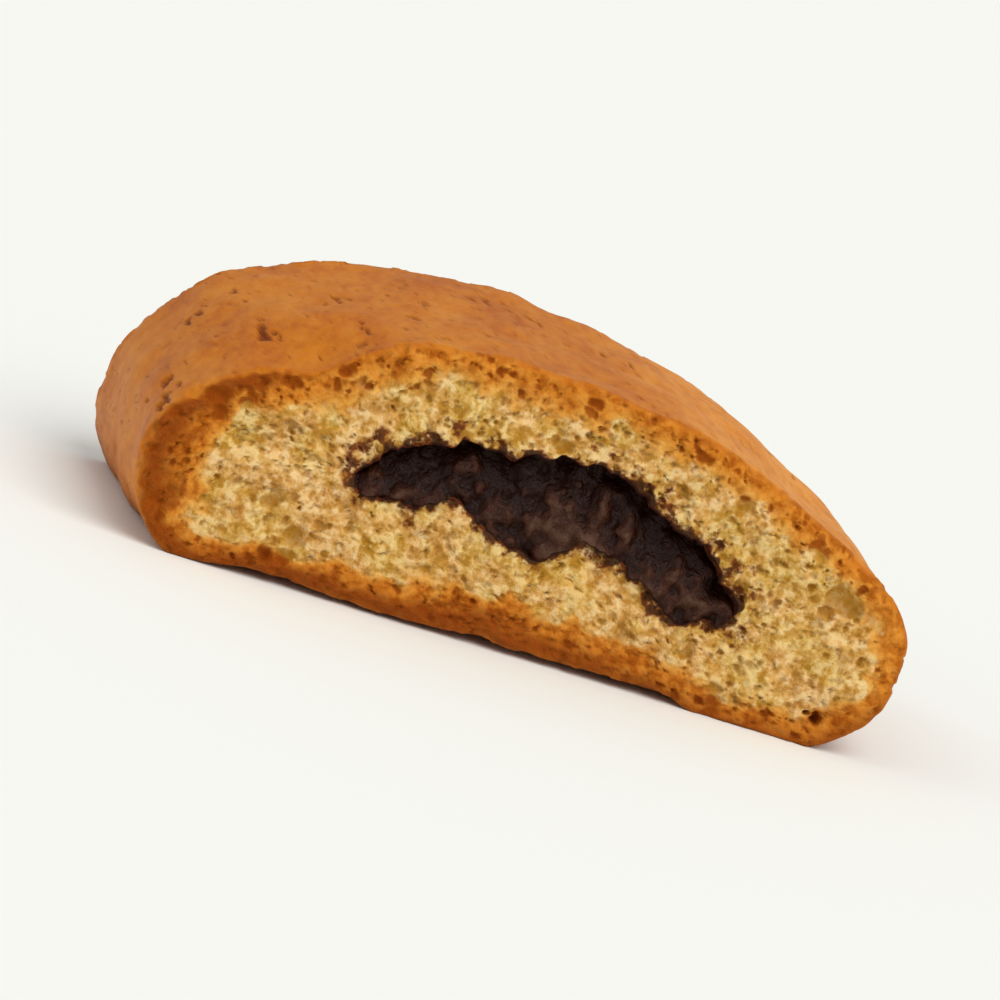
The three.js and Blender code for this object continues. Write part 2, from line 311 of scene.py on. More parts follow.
# Gloss, softness and fine bumps. The reach and the bumps are in millimetres.
DOUGH_ROUGHNESS = (0.5, 1.0, 0.9, 0.5)  # from and to how much skin, and the roughness there
DOUGH_SPECULAR = 0.12
DOUGH_SUBSURFACE = 0.12
SUBSURFACE_RADIUS = (1.0, 0.6, 0.3)  # red runs deepest
SUBSURFACE_REACH = 0.9
DOUGH_BUMP = 0.4
DOUGH_DUST_BUMP = 0.05
BUMP_ON_SKIN = (0.0, 1.0, 1.0, 0.4)  # from and to how much skin, and the share of the bumps there
PASTE_ROUGHNESS = (0.35, 0.65, 0.22, 0.5)  # from and to which height of the clots, and the roughness there
PASTE_SPECULAR = 0.16
PASTE_BUMP = 0.7
PASTE_DUST_BUMP = 0.07
FLOOR_ROUGHNESS = 0.9
FLOOR_SPECULAR = 0.1

# The camera sees the slice as the photograph does. The slice is tipped there, so the camera is rolled.
CAMERA_AZIMUTH, CAMERA_ELEVATION, CAMERA_ROLL = -5.4, 11.8, 18.1  # in degrees
CAMERA_DISTANCE = 0.8  # in metres, like the two below
CAMERA_NEAR, CAMERA_FAR = 0.01, 50.0
CAMERA_LENS = 308.0
CAMERA_AIM = Vector((-0.35, 0.0, 10.75)) * MM

# Light, as azimuth, elevation, width in degrees, strength and colour
KEY_LIGHT = (34.0, 50.0, 50.0, 1.82, (1.0, 0.98, 0.95))
FILL_LIGHT = (-80.0, 25.0, 60.0, 0.4, (0.98, 0.97, 1.0))
SKY_STRENGTH = 0.53
SKY_COLOUR = (0.985, 0.995, 1.0, 1)
FLOOR_REACH = 12.0  # in metres, to each side


def corner_value(ix, iy, iz):
    """A number from -1 to 1 that belongs to one corner of the noise lattice."""
    fx, fy, fz = (np.uint32(factor) for factor in CORNER_FACTORS)
    h = ix * fx ^ iy * fy ^ iz * fz
    for shift, factor in SCRAMBLES:
        h = (h ^ (h >> np.uint32(shift))) * np.uint32(factor)
    return (h ^ (h >> np.uint32(LAST_SHIFT))).astype(float) / HALF_RANGE - 1.0


def smooth(share):
    return share * share * (3 - 2 * share)


def ramp_up(value, low, high):
    """0 below low, 1 above high, and smooth between."""
    return smooth(np.clip((value - low) / (high - low), 0, 1))


def faded(distance, least, low, high):
    """least below low, 1 above high, and smooth between."""
    return least + (1 - least) * ramp_up(distance, low, high)


def lumps(points, size, shift):
    """Smooth lumps from -1 to 1 at points x, y, z, with one lattice corner for each length of size."""
    at = np.asarray(points, float) / size + shift
    low = np.floor(at)
    share = smooth(at - low)
    low = low.astype(np.int64).astype(np.uint32)
    total = 0.0
    for corner in np.ndindex(2, 2, 2):
        weight = np.prod(np.where(corner, share, 1 - share), axis=-1)
        total = total + weight * corner_value(*np.moveaxis(low + np.array(corner, np.uint32), -1, 0))
    return total


def layered(points, layers):
    """The sum of layers of lumps, each with its size, height and shift."""
    return sum(height * lumps(points, size, shift) for size, height, shift in layers)


def uneven(points, width, layers, least):
    """A width that noise layers make uneven, down to a least share of itself."""
    return width * np.clip(1 + layered(points, layers), least, None)


def spline(stations):
    """A smooth line through stations, a uniform Catmull-Rom curve."""
    stations = np.asarray(stations, float)
    last = len(stations) - 1
    at = last * np.arange(OUTLINE_SAMPLES + 1) / OUTLINE_SAMPLES
    k = np.minimum(at.astype(int), last)
    t = (at - k)[:, None]
    p0, p1 = stations[np.maximum(k - 1, 0)], stations[k]
    p2, p3 = stations[np.minimum(k + 1, last)], stations[np.minimum(k + 2, last)]
    v0, v1 = (p2 - p0) / 2, (p3 - p1) / 2
    return (2 * p1 - 2 * p2 + v0 + v1) * t**3 + (-3 * p1 + 3 * p2 - 2 * v0 - v1) * t**2 + v0 * t + p1


def spaced(line, count, spread=((0, 0), (1, 1))):
    """count points along an open line, from its first point up to but not including its last.

    spread gives the share of the line that is reached at some shares of the points. Without it they lie
    evenly.
    """
    run = np.r_[0, np.cumsum(np.linalg.norm(np.diff(line, axis=0), axis=1))]
    wanted = run[-1] * np.interp(np.arange(count) / count, *zip(*spread))
    return np.stack([np.interp(wanted, run, line[:, k]) for k in (0, 1)], axis=1)


def arch_at(x):
    """How far the underside arches up from the plane it stands on."""
    rise = smooth(np.clip((x - ARCH_LEFT) / ARCH_RAMP, 0, 1))
    return ARCH_HEIGHT * rise * smooth(np.clip((ARCH_RIGHT - x) / ARCH_RAMP, 0, 1))


def bed_line():
    """The underside of the section, from the left tip round the corner and along the bed to the right."""
    (right_x, right_z), (left_x, left_z) = DOME[0], DOME[-1]
    angle = np.pi / 2 * np.arange(CORNER_SAMPLES) / CORNER_SAMPLES
    inward, downward = 1 - np.cos(angle), 1 - np.sin(angle)
    left = np.stack([left_x + CORNER_LEFT * inward, left_z * downward], axis=1)
    right = np.stack([right_x - CORNER_RIGHT * inward, right_z * downward], axis=1)
    x = np.linspace(left_x + CORNER_LEFT, right_x - CORNER_RIGHT, OUTLINE_SAMPLES + 1)
    return np.concatenate([left, np.stack([x, arch_at(x)], axis=1), right[::-1]])


def ribbon_line(edge):
    """One edge of the ribbon, from left to right. edge is 1 for the upper one and 2 for the lower one."""
    first, last = RIBBON[0], RIBBON[-1]
    stations = [(first[0] - RIBBON_TIP, (first[1] + first[2]) / 2)]
    stations += [(station[0], station[edge]) for station in RIBBON]
    stations += [(last[0] + RIBBON_TIP, (last[1] + last[2]) / 2)]
    return spline(stations)


def outline_of(upper, lower, upper_steps, lower_steps):
    """A closed outline: over the top from right to left, and back below."""
    return np.concatenate([spaced(upper, upper_steps), spaced(lower, lower_steps)])


def outward_of(outline):
    """Each point's outward direction in a closed outline that runs anticlockwise."""
    along = np.roll(outline, -1, axis=0) - np.roll(outline, 1, axis=0)
    along /= np.linalg.norm(along, axis=1, keepdims=True)
    return np.stack([along[:, 1], -along[:, 0]], axis=1)


def moved_out(points, outward, distance):
    """Points moved along their outward directions in the plane of the section."""
    moved = points.copy()
    moved[..., 0] += distance * outward[:, 0]
    moved[..., 2] += distance * outward[:, 1]
    return moved


def ribbon_ring(ribbon, outward, y, grow=0.0):
    """The ribbon's ragged outline at depth y, grown by grow all round."""
    at = np.stack([ribbon[:, 0], np.full(len(ribbon), y), ribbon[:, 1]], axis=1)
    ragged = layered(at, RIBBON_WAVES) + layered(at, RAGGED_GRAIN) + grow
    rise = RISE_HEIGHT * math.sin((y + HALF) / RISE_LENGTH)
    return moved_out(at + (BIAS * y, 0, rise), outward, ragged)


class Hollows:
    """Uneven hollows strewn over a plane. Each is a bowl or a cluster of bowls, and the deepest shows."""

    def __init__(self, seed, low, high, kinds, placed=()):
        draw = np.random.default_rng(seed)
        groups = [(np.array(placed, float).reshape(-1, 5), PLACED_BOWLS, PLACED_SPREAD)]
        for count, least, most, depth, members, rusty in kinds:
            radius = least + (most - least) * draw.random(count) ** RADIUS_LEANING
            rust = draw.random(count) < rusty
            places = draw.uniform(low, high, (count, 2))
            groups.append((np.column_stack([places, radius, radius * depth, rust]), members, BOWL_SPREAD))
        bowls = []
        for group, members, spread in groups:
            bowl = np.repeat(group, members, axis=0)
            if members > 1:
                bowl[:, :2] += draw.normal(0, spread, (len(bowl), 2)) * bowl[:, 2:3]
                bowl[:, 2] *= draw.uniform(*BOWL_RADII, len(bowl))
            bowl[:, 3] *= draw.uniform(*BOWL_DEPTHS, len(bowl))
            bowls.append(bowl)
        bowls = np.concatenate(bowls)
        self.at, self.radius, self.depth, self.rust = bowls[:, :2], bowls[:, 2], bowls[:, 3], bowls[:, 4]
        self.width = draw.uniform(*BOWL_WIDTHS, len(bowls))
        self.turn = draw.uniform(0, np.pi, len(bowls))

    def bowl_at(self, k, points):
        """How much of bowl k's depth is reached at points, as a share."""
        near = points - self.at[k]
        cos, sin = math.cos(self.turn[k]), math.sin(self.turn[k])
        u = near[:, 0] * cos + near[:, 1] * sin
        v = (near[:, 1] * cos - near[:, 0] * sin) / self.width[k]
        return np.clip(1 - (u * u + v * v) / self.radius[k] ** 2, 0, None) ** BOWL_PROFILE

    def measured_at(self, points):
        """How deep and how rusty the hollows are at points, an array of places on their plane."""
        flat = points.reshape(-1, 2)
        as_lattice = np.column_stack([flat[:, 0], np.zeros(len(flat)), flat[:, 1]])
        warped = flat + np.stack([layered(as_lattice, layers) for layers in BOWL_WARPS], axis=1)
        order = np.argsort(warped[:, 0])
        ranked = warped[order]
        found = np.zeros((2, len(flat)))
        starts = np.searchsorted(ranked[:, 0], self.at[:, 0] - self.radius)
        ends = np.searchsorted(ranked[:, 0], self.at[:, 0] + self.radius)
        for k, (start, end) in enumerate(zip(starts, ends)):
            bowl = np.outer((self.depth[k], self.rust[k]), self.bowl_at(k, ranked[start:end]))
            np.maximum(found[:, start:end], bowl, out=found[:, start:end])
        result = np.empty(found.shape)
        result[:, order] = found
        return result.reshape(2, *points.shape[:-1])


def skin_relief(points, section_x):
    """How far the baked skin stands out from the plain section at its points, without the finest grain."""
    from_front = (points[..., 1] + HALF) / SHOULDER_REACH
    from_shoulder = (section_x - SHOULDER_X) / SHOULDER_SPREAD
    upper = smooth(np.clip(points[..., 2] / SHOULDER_RISE, 0, 1))
    slump = SHOULDER_DEPTH * upper * np.exp(-(from_shoulder**2) - from_front**2)
    return layered(points, CRUST_LUMPS) - slump


def crack_depth(points):
    """How deep the fine cracks of the skin are at its points."""
    seam = sum(np.abs(layered(points, (layer,))) for layer in CRACK_LINES)
    return CRACK_DEPTH * np.clip(1 - seam / CRACK_WIDTH, 0, 1)


def rounding_drop(edge, deep):
    """How far a cut falls back at a distance deep from its outer edge, which is rounded unevenly."""
    radius = np.clip(ROUNDING + layered(edge, ROUNDING_NOISE), ROUNDING_LEAST, ROUNDING_MOST)
    return radius - np.sqrt(np.clip(radius**2 - np.clip(radius - deep, 0, None) ** 2, 0, None))


def quads_between(ring_count, steps, closed):
    """Faces between successive rings of equal length. A closed stack joins its last ring to its first."""
    ring = np.arange(ring_count if closed else ring_count - 1)[:, None]
    step = np.arange(steps)[None, :]
    here, there = ring * steps, (ring + 1) % ring_count * steps
    beside = (step + 1) % steps
    corners = (here + step, there + step, there + beside, here + beside)
    return np.stack(np.broadcast_arrays(*corners), axis=-1).reshape(-1, 4)


def mesh_object(name, points_mm, faces, values):
    """A smooth-shaded mesh object from points in millimetres and faces, with named numbers for points."""
    mesh = bpy.data.meshes.new(name)
    mesh.from_pydata((points_mm * MM).tolist(), [], [list(map(int, face)) for face in faces])
    mesh.polygons.foreach_set("use_smooth", np.ones(len(mesh.polygons), bool))
    for key, numbers in values.items():
        attribute = mesh.attributes.new(key, "FLOAT", "POINT")
        attribute.data.foreach_set("value", np.asarray(numbers, np.float32))
    made = bpy.data.objects.new(name, mesh)
    bpy.context.scene.collection.objects.link(made)
    return made


class Dough:
    """The baked dough: its rings of points, from front to back and round through the ribbon's tunnel.

    Each point has numbers that its colour comes from: skin is 1 on the outer skin, bake is how brown it is,
    hollow_tone_and_shade how deep in the pores, pits and cracks, for their own tone and painted shade, rust
    1 in a rusty hole, stain how near the paste, and sole how far it belongs to the underside.
    """

    KEYS = ("skin", "bake", "hollow_tone_and_shade", "rust", "stain", "sole")

    def __init__(self):
        self.section = outline_of(spline(DOME), bed_line(), UPPER_STEPS, LOWER_STEPS)
        self.outward = outward_of(self.section)
        steps = np.linalg.norm(np.roll(self.section, -1, axis=0) - self.section, axis=1)
        self.run = np.r_[0, np.cumsum(steps)[:-1]]
        upper = spaced(ribbon_line(1)[::-1], UPPER_STEPS, RIBBON_SPREAD_ABOVE)
        self.ribbon = np.concatenate([upper, spaced(ribbon_line(2), LOWER_STEPS, RIBBON_SPREAD_BELOW)])
        self.ribbon_outward = outward_of(self.ribbon)
        reach = HALF / PIT_STRETCH
        spots = [(self.run_at(x), y / PIT_STRETCH, radius, depth, 0) for x, y, radius, depth in CRUST_SPOTS]
        self.pits = Hollows(PITS_SEED, (0, -reach), (self.run[-1], reach), CRUST_PITS, spots)
        low, high = (DOME[-1][0] - PORES_PAST_TIPS, 0), (DOME[0][0] + PORES_PAST_TIPS, PORES_TOP)
        holes = [(x - BIAS * HALF, *rest) for x, *rest in FRONT_HOLES]
        self.pores = {
            -1: Hollows(FRONT_SEED, low, high, CRUMB_PORES, holes),
            1: Hollows(BACK_SEED, low, high, CRUMB_PORES),
        }

    def run_at(self, x):
        """How far along the section's outline its dome reaches x."""
        return np.interp(-x, -self.section[:UPPER_STEPS, 0], self.run[:UPPER_STEPS])

    def skin_grid(self, depths):
        """The skin's rings at some depths, as a grid of points with their values."""
        y = np.asarray(depths, float)[:, None]
        x = self.section[:, 0] + BIAS * y
        at = np.stack([x, *(np.broadcast_to(part, x.shape) for part in (y, self.section[:, 1]))], axis=-1)
        on_skin = np.stack([np.broadcast_to(self.run, x.shape), at[..., 1] / PIT_STRETCH], axis=-1)
        pits = self.pits.measured_at(on_skin)[0]
        cracks = crack_depth(at)
        relief = skin_relief(at, self.section[:, 0]) + layered(at, SKIN_GRAIN) - pits - cracks
        points = moved_out(at, self.outward, relief)
        down = np.clip(-self.outward[:, 1], 0, 1)
        points[..., 2] = np.maximum(0, points[..., 2] - PRESS * down**PRESS_SHARPNESS)
        on_slope = ramp_up(self.section[:, 0], *PALE_FROM) * ramp_up(self.outward[:, 1], *PALE_FACING)
        ones = np.ones(x.shape)
        values = {
            "skin": ones,
            "bake": ones - PALE_SLOPE * on_slope,
            # Depth of the pits and cracks, for their own tone and the shade painted in them
            "hollow_tone_and_shade": pits / PIT_DARK + cracks / CRACK_DARK,
            "rust": 0 * ones,
            "stain": 0 * ones,
            "sole": np.broadcast_to(ramp_up(down, *SOLE_FACING), x.shape),
        }
        return points, values

    def browned_width(self):
        """How far the browning runs in from the skin along a cut, for each point of the section."""
        x = self.section[:, 0]
        above = ramp_up(self.outward[:, 1], *SIDE_BLEND)
        widths = [np.interp(x, *zip(*stations)) for stations in (BROWNED_BELOW, BROWNED_ABOVE)]
        return widths[0] + above * (widths[1] - widths[0])

    def baked_amount(self):
        """How brown each point of the section is below its skin: most at the blunt end and below."""
        x = self.section[:, 0]
        below = 1 - ramp_up(self.outward[:, 1], *SIDE_BLEND)
        bottom = below * (BAKED_BELOW - LESS_BELOW * ramp_up(x, *LESS_BELOW_FROM))
        blunt_end = BAKED_END * (1 - ramp_up(x, *BAKED_END_FADES))
        return 1 + np.maximum(bottom, blunt_end)

    def chipped_edge(self, side):
        """The outer edge of one cut, with how far it belongs to the underside."""
        (edge,), values = self.skin_grid([side * HALF])
        chips = np.clip(layered(edge, CHIPS_GRAIN) - CHIPS_LEAST, 0, CHIPS_MOST[side])
        chips *= np.clip(edge[:, 2] / CHIPS_ABOVE, 0, 1)
        return moved_out(edge, self.outward, -chips), values["sole"]

    def cut_grid(self, side, count):
        """The rings of one cut, from its outer edge to the ribbon: a grid of points with their values."""
        edge, sole = self.chipped_edge(side)
        hole = ribbon_ring(self.ribbon, self.ribbon_outward, side * HALF)
        share = (np.arange(count + 1) / count)[:, None] ** EDGE_CROWDING
        plane = edge + (hole - edge) * share[..., None]
        reach = np.linalg.norm(hole - edge, axis=1)
        deep, left = reach * share, reach * (1 - share)

        pores, rust = self.pores[side].measured_at(plane[..., (0, 2)])
        pores *= faded(deep, *PORES_AT_SKIN) * faded(left, *PORES_AT_PASTE)
        relief = faded(deep, *LUMPS_AT_SKIN) * layered(plane, CRUMB_LUMPS)
        relief += faded(deep, *GRAIN_AT_SKIN) * layered(plane, CRUMB_GRAIN)
        points = plane.copy()
        points[..., 1] = side * (HALF + relief - pores - rounding_drop(edge, deep))

        browned = uneven(plane, self.browned_width(), BROWNING_NOISE, BROWNING_LEAST)
        browning = np.clip(1 - deep / browned, 0, 1)
        rim = uneven(plane, RIM_WIDTH, RIM_NOISE, WIDTH_LEAST)
        stain_reach = uneven(plane, STAIN_WIDTH, STAIN_NOISE, WIDTH_LEAST)
        values = {
            "skin": np.exp(-((deep / rim) ** 2)),
            "bake": browning * self.baked_amount(),
            # Depth of the pores, for their own tone and the shade painted in them
            "hollow_tone_and_shade": pores / PORE_DARK,
            "rust": rust * ramp_up(browning, *RUST_BROWNING),
            "stain": np.exp(-((left / stain_reach) ** STAIN_FADE)),
            "sole": sole * np.exp(-deep / SOLE_REACH),
        }
        return points, values

    def tunnel_grid(self):
        """The rings of the tunnel's wall, from the back cut to the front one, wholly stained."""
        depths = np.linspace(HALF - TUNNEL_INSET, TUNNEL_INSET - HALF, TUNNEL_ROWS)
        points = np.stack([ribbon_ring(self.ribbon, self.ribbon_outward, y) for y in depths])
        nothing = np.zeros(points.shape[:2])
        return points, {key: nothing + (key == "stain") for key in self.KEYS}

    def build(self):
        front, front_values = self.cut_grid(-1, FRONT_RINGS)
        grids = [
            self.skin_grid(np.linspace(CRUST_INSET - HALF, HALF - CRUST_INSET, CRUST_ROWS)),
            self.cut_grid(1, BACK_RINGS),
            self.tunnel_grid(),
            (front[::-1], {key: front_values[key][::-1] for key in self.KEYS}),
        ]
        points = np.concatenate([grid_points.reshape(-1, 3) for grid_points, _ in grids])
        values = {key: np.concatenate([numbers[key].ravel() for _, numbers in grids]) for key in self.KEYS}
        values["hollow_tone_and_shade"] = np.clip(values["hollow_tone_and_shade"], 0, 1)
        quads = quads_between(len(points) // ROUND_STEPS, ROUND_STEPS, True)
        return mesh_object("baked_dough", points, quads, values)


def make_paste():
    """The ribbon of berry paste, from cut to cut, with a lumpy sunken end in each."""
    steps = PASTE_STEPS * 2
    outline = outline_of(ribbon_line(1)[::-1], ribbon_line(2), PASTE_STEPS, PASTE_STEPS)
    outward = outward_of(outline)
    rings = [ribbon_ring(outline, outward, y, PASTE_OVERLAP) for y in np.linspace(-HALF, HALF, PASTE_ROWS)]
    count = PASTE_ROWS * steps
    points, painted_shade_and_sheen = list(rings), [np.full(count, PASTE_HIDDEN)]
    faces = [quads_between(PASTE_ROWS, steps, False)]
    column = np.arange(PASTE_STEPS + 1)
    mate = (steps - column) % steps  # the point of the lower edge below each point of the upper edge
    inner = (PASTE_END_ROWS - 1, PASTE_STEPS - 1)
    for side, ring, first in ((-1, rings[0], 0), (1, rings[-1], (PASTE_ROWS - 1) * steps)):
        share = np.arange(PASTE_END_ROWS + 1)[:, None, None] / PASTE_END_ROWS
        grid = ring[column] * (1 - share) + ring[mate] * share
        sink = PASTE_SINK * (1 - share[..., 0]) ** PASTE_SINK_FADE
        relief = layered(grid, PASTE_GRAIN)
        # Its colour value: painted shade in the hollows and towards the sunken upper edge, and a painted
        # sheen on the lumps
        painted_shade_and_sheen.append((relief - SUNK_PAINTED_SHADE * sink)[1:-1, 1:-1].ravel())
        grid[..., 1] = side * (HALF + relief - sink + PASTE_PROUD)
        ring[column, 1] = grid[0, :, 1]
        ring[mate, 1] = grid[-1, :, 1]
        index = np.empty(grid.shape[:2], int)
        index[0], index[-1] = first + column, first + mate
        index[1:-1, 0], index[1:-1, -1] = first, first + PASTE_STEPS
        index[1:-1, 1:-1] = count + np.arange(inner[0] * inner[1]).reshape(inner)
        count += inner[0] * inner[1]
        points.append(grid[1:-1, 1:-1].reshape(-1, 3))
        corners = (index[:-1, :-1], index[1:, :-1], index[1:, 1:], index[:-1, 1:])
        quads = np.stack(corners, axis=-1).reshape(-1, 4)
        faces.append(quads if side > 0 else quads[:, ::-1])
    # Where the end's rows meet in its tips, quads shrink to triangles or to nothing.
    faces = [list(dict.fromkeys(map(int, face))) for block in faces for face in block]
    faces = [face for face in faces if len(face) > 2]
    return mesh_object("berry_paste", np.concatenate(points), faces, {"painted_shade_and_sheen": np.concatenate(painted_shade_and_sheen)})


def linear(red, green, blue):
    """An sRGB colour of 0 to 255 as linear RGBA."""
    shares = [value / 255 for value in (red, green, blue)]
    return (*[s / 12.92 if s <= 0.04045 else ((s + 0.055) / 1.055) ** 2.4 for s in shares], 1.0)


class Nodes:
    """Builds a material's node tree."""

    def __init__(self, name):
        self.material = bpy.data.materials.new(name)
        self.material.use_nodes = True
        self.tree = self.material.node_tree
        self.shader = self.tree.nodes["Principled BSDF"]
        self.where = self.node("ShaderNodeTexCoord").outputs["Object"]

    def node(self, kind, **settings):
        made = self.tree.nodes.new(kind)
        for key, value in settings.items():
            setattr(made, key, value)
        return made

    def put(self, socket, value):
        if isinstance(value, bpy.types.NodeSocket):
            self.tree.links.new(value, socket)
        else:
            socket.default_value = value

    def value(self, name):
        return self.node("ShaderNodeAttribute", attribute_name=name).outputs["Fac"]

    def math(self, operation, a, b):
        made = self.node("ShaderNodeMath", operation=operation)
        self.put(made.inputs[0], a)
        self.put(made.inputs[1], b)
        return made.outputs[0]

    def times(self, a, b):
        return self.math("MULTIPLY", a, b)

    def mix(self, share, a, b):
        """A mix of two colours, each a socket or in sRGB."""
        made = self.node("ShaderNodeMix", data_type="RGBA")
        self.put(made.inputs[0], share)
        for socket, colour in ((made.inputs[6], a), (made.inputs[7], b)):
            self.put(socket, colour if isinstance(colour, bpy.types.NodeSocket) else linear(*colour))
        return made.outputs[2]

    def ragged(self, value, noise, amount):
        """A value that a noise makes uneven."""
        return self.math("ADD", value, self.times(self.math("SUBTRACT", noise, 0.5), amount))

    def stretched(self, scale):
        """The place on the object, with its x, y and z scaled."""
        made = self.node("ShaderNodeVectorMath", operation="MULTIPLY")
        self.put(made.inputs[0], self.where)
        made.inputs[1].default_value = scale
        return made.outputs[0]

    def noise(self, kind, where=None):
        """A noise, with its size in millimetres, its detail and its roughness."""
        size_mm, detail, roughness = kind
        made = self.node("ShaderNodeTexNoise")
        self.put(made.inputs["Vector"], where or self.where)
        made.inputs["Scale"].default_value = 1 / (size_mm * MM)
        made.inputs["Detail"].default_value = detail
        made.inputs["Roughness"].default_value = roughness
        return made.outputs["Fac"]

    def span(self, value, low, high, to_low=0.0, to_high=1.0):
        made = self.node("ShaderNodeMapRange")
        for socket, number in zip(made.inputs[:5], (value, low, high, to_low, to_high)):
            self.put(socket, number)
        return made.outputs[0]

    def tones(self, value, places, colours):
        """The colour that a value has among colours in sRGB at some places."""
        made = self.node("ShaderNodeValToRGB")
        elements = made.color_ramp.elements
        while len(elements) < len(places):
            elements.new(0.5)
        for element, place, colour in zip(elements, places, colours):
            element.position = place
            element.color = linear(*colour)
        self.put(made.inputs["Fac"], value)
        return made.outputs["Color"]

    def bump(self, height, distance_mm, normal=None):
        made = self.node("ShaderNodeBump")
        made.inputs["Distance"].default_value = distance_mm * MM
        self.put(made.inputs["Height"], height)
        if normal is not None:
            self.put(made.inputs["Normal"], normal)
        return made.outputs["Normal"]

    def set_all_over(self, **values):
        """Sets inputs of the shader that are the same all over the surface."""
        for name, value in values.items():
            self.shader.inputs[name.replace("_", " ")].default_value = value


def crumb_colour(n, grain):
    """Pale crumb, mottled in yellow and peach, and darker with painted shade where the bump grain is low.
    """
    # The grain that raises the bumps also darkens the crumb in their hollows, a painted shade
    tone = n.ragged(n.noise(MOTTLE), grain, CRUMB_UNEVEN)
    yellow = n.tones(tone, CRUMB_PLACES, YELLOW_CRUMB)
    peach = n.tones(tone, CRUMB_PLACES, PEACH_CRUMB)
    return n.mix(n.span(n.noise(WARMTH), *PEACH_SPAN), yellow, peach)


def browned(n, colour, bake, speckle):
    """A colour that goes through golden and brown to dark brown as the dough is baked."""
    baked = n.ragged(bake, speckle, BAKE_UNEVEN)
    colour = n.mix(n.span(baked, *GOLDEN_SPAN), colour, n.tones(speckle, GOLDEN_PLACES, GOLDEN_DOUGH))
    colour = n.mix(n.span(baked, *BROWN_SPAN), colour, n.tones(speckle, BROWN_PLACES, BROWN_DOUGH))
    return n.mix(n.times(n.span(baked, *DARK_SPAN), DARK_SHARE), colour, DARK_DOUGH)


def shaded_in_pores(n, colour, bake, hollow_tone_and_shade):
    """A colour that is darker in the pores: partly their own tone, partly painted shade."""
    pit = n.mix(n.span(bake, *BROWN_PORE_SPAN), PALE_PORE_TONE_AND_SHADE, BROWN_PORE_TONE_AND_SHADE)
    return n.mix(n.times(n.span(hollow_tone_and_shade, *PORE_SPAN), PORE_SHARE), colour, pit)


def rusted(n, colour, bake, rust, grain):
    """A colour with rusty blotches where the dough is browned, and with rust in the rusty holes."""
    blotched = n.times(n.span(n.noise(BLOTCHES), *BLOTCH_SPAN), n.span(bake, *BLOTCH_BAKE_SPAN))
    lined = n.times(n.span(n.ragged(rust, grain, RUST_UNEVEN), *RUST_SPAN), n.span(rust, *RUST_EDGE_SPAN))
    rusty = n.math("MAXIMUM", n.times(blotched, BLOTCH_SHARE), n.times(lined, RUST_SHARE))
    return n.mix(rusty, colour, RUST)


def crust_colour(n, bake, hollow_tone_and_shade):
    """Baked skin in patches and freckles, paler on the long slope facing up, darker in pits by tone and
    painted shade.
    """
    along = n.stretched(CRUST_STRETCH)
    patches = n.times(n.noise(CRUST_PATCHES, along), PATCHES_SHARE)
    toned = n.math("ADD", patches, n.times(n.noise(CRUST_FRECKLES, along), FRECKLES_SHARE))
    pale, crust = (n.tones(toned, CRUST_PLACES, colours) for colours in (PALE_CRUST, CRUST))
    crust = n.mix(n.span(bake, *CRUST_SPAN), pale, crust)
    return n.mix(n.times(hollow_tone_and_shade, PIT_SHARE), crust, CRUST_PIT_TONE_AND_SHADE)


def smeared(n, colour, stain, speckle):
    """A colour with smears of paste near the ribbon, and soaked in it beside the ribbon."""
    stained = n.span(n.ragged(stain, speckle, STAIN_UNEVEN), *STAIN_SPAN)
    stained = n.times(stained, n.span(stain, *STAIN_EDGE_SPAN))
    smear = n.mix(n.span(n.ragged(stain, speckle, THICK_UNEVEN), *THICK_SPAN), THIN_SMEAR, THICK_SMEAR)
    soaked = n.math("MAXIMUM", n.times(stained, STAIN_SHARE), n.span(stain, *SOAKED_SPAN))
    return n.mix(soaked, colour, smear)


def dough_material():
    """Baked dough: pale crumb in the cuts, browning towards the skin, with pores, pits and smears."""
    n = Nodes("baked dough")
    skin, bake, hollow_tone_and_shade, rust, stain, sole = (n.value(key) for key in Dough.KEYS)
    speckle, grain = n.noise(SPECKLE), n.noise(GRAIN)
    colour = browned(n, crumb_colour(n, grain), bake, speckle)
    colour = rusted(n, shaded_in_pores(n, colour, bake, hollow_tone_and_shade), bake, rust, grain)
    colour = n.mix(skin, colour, crust_colour(n, bake, hollow_tone_and_shade))
    colour = n.mix(n.times(sole, SOLE_SHARE), colour, SOLE)
    n.put(n.shader.inputs["Base Color"], smeared(n, colour, stain, speckle))
    n.put(n.shader.inputs["Roughness"], n.span(skin, *DOUGH_ROUGHNESS))
    n.set_all_over(Specular_IOR_Level=DOUGH_SPECULAR, Subsurface_Weight=DOUGH_SUBSURFACE)
    n.set_all_over(Subsurface_Radius=SUBSURFACE_RADIUS, Subsurface_Scale=SUBSURFACE_REACH * MM)
    coarse = n.bump(n.times(grain, n.span(skin, *BUMP_ON_SKIN)), DOUGH_BUMP)
    n.put(n.shader.inputs["Normal"], n.bump(n.noise(DOUGH_DUST), DOUGH_DUST_BUMP, coarse))
    return n.material


def paste_material():
    """Berry paste: nearly black with painted shade in its hollows, and greyish brown with a painted sheen
    where it stands out.
    """
    n = Nodes("berry paste")
    clots = n.noise(CLOTS)
    # Painted shade in the hollows and a painted sheen on the lumps, from the relief and how far it is
    # sunken
    height = n.span(n.ragged(n.value("painted_shade_and_sheen"), clots, PASTE_UNEVEN), *PASTE_SPAN)
    n.put(n.shader.inputs["Base Color"], n.tones(height, PASTE_PLACES, PASTE_WITH_PAINTED_LIGHT))
    n.put(n.shader.inputs["Roughness"], n.span(clots, *PASTE_ROUGHNESS))
    n.set_all_over(Specular_IOR_Level=PASTE_SPECULAR)
    coarse = n.bump(clots, PASTE_BUMP)
    n.put(n.shader.inputs["Normal"], n.bump(n.noise(PASTE_DUST), PASTE_DUST_BUMP, coarse))
    return n.material


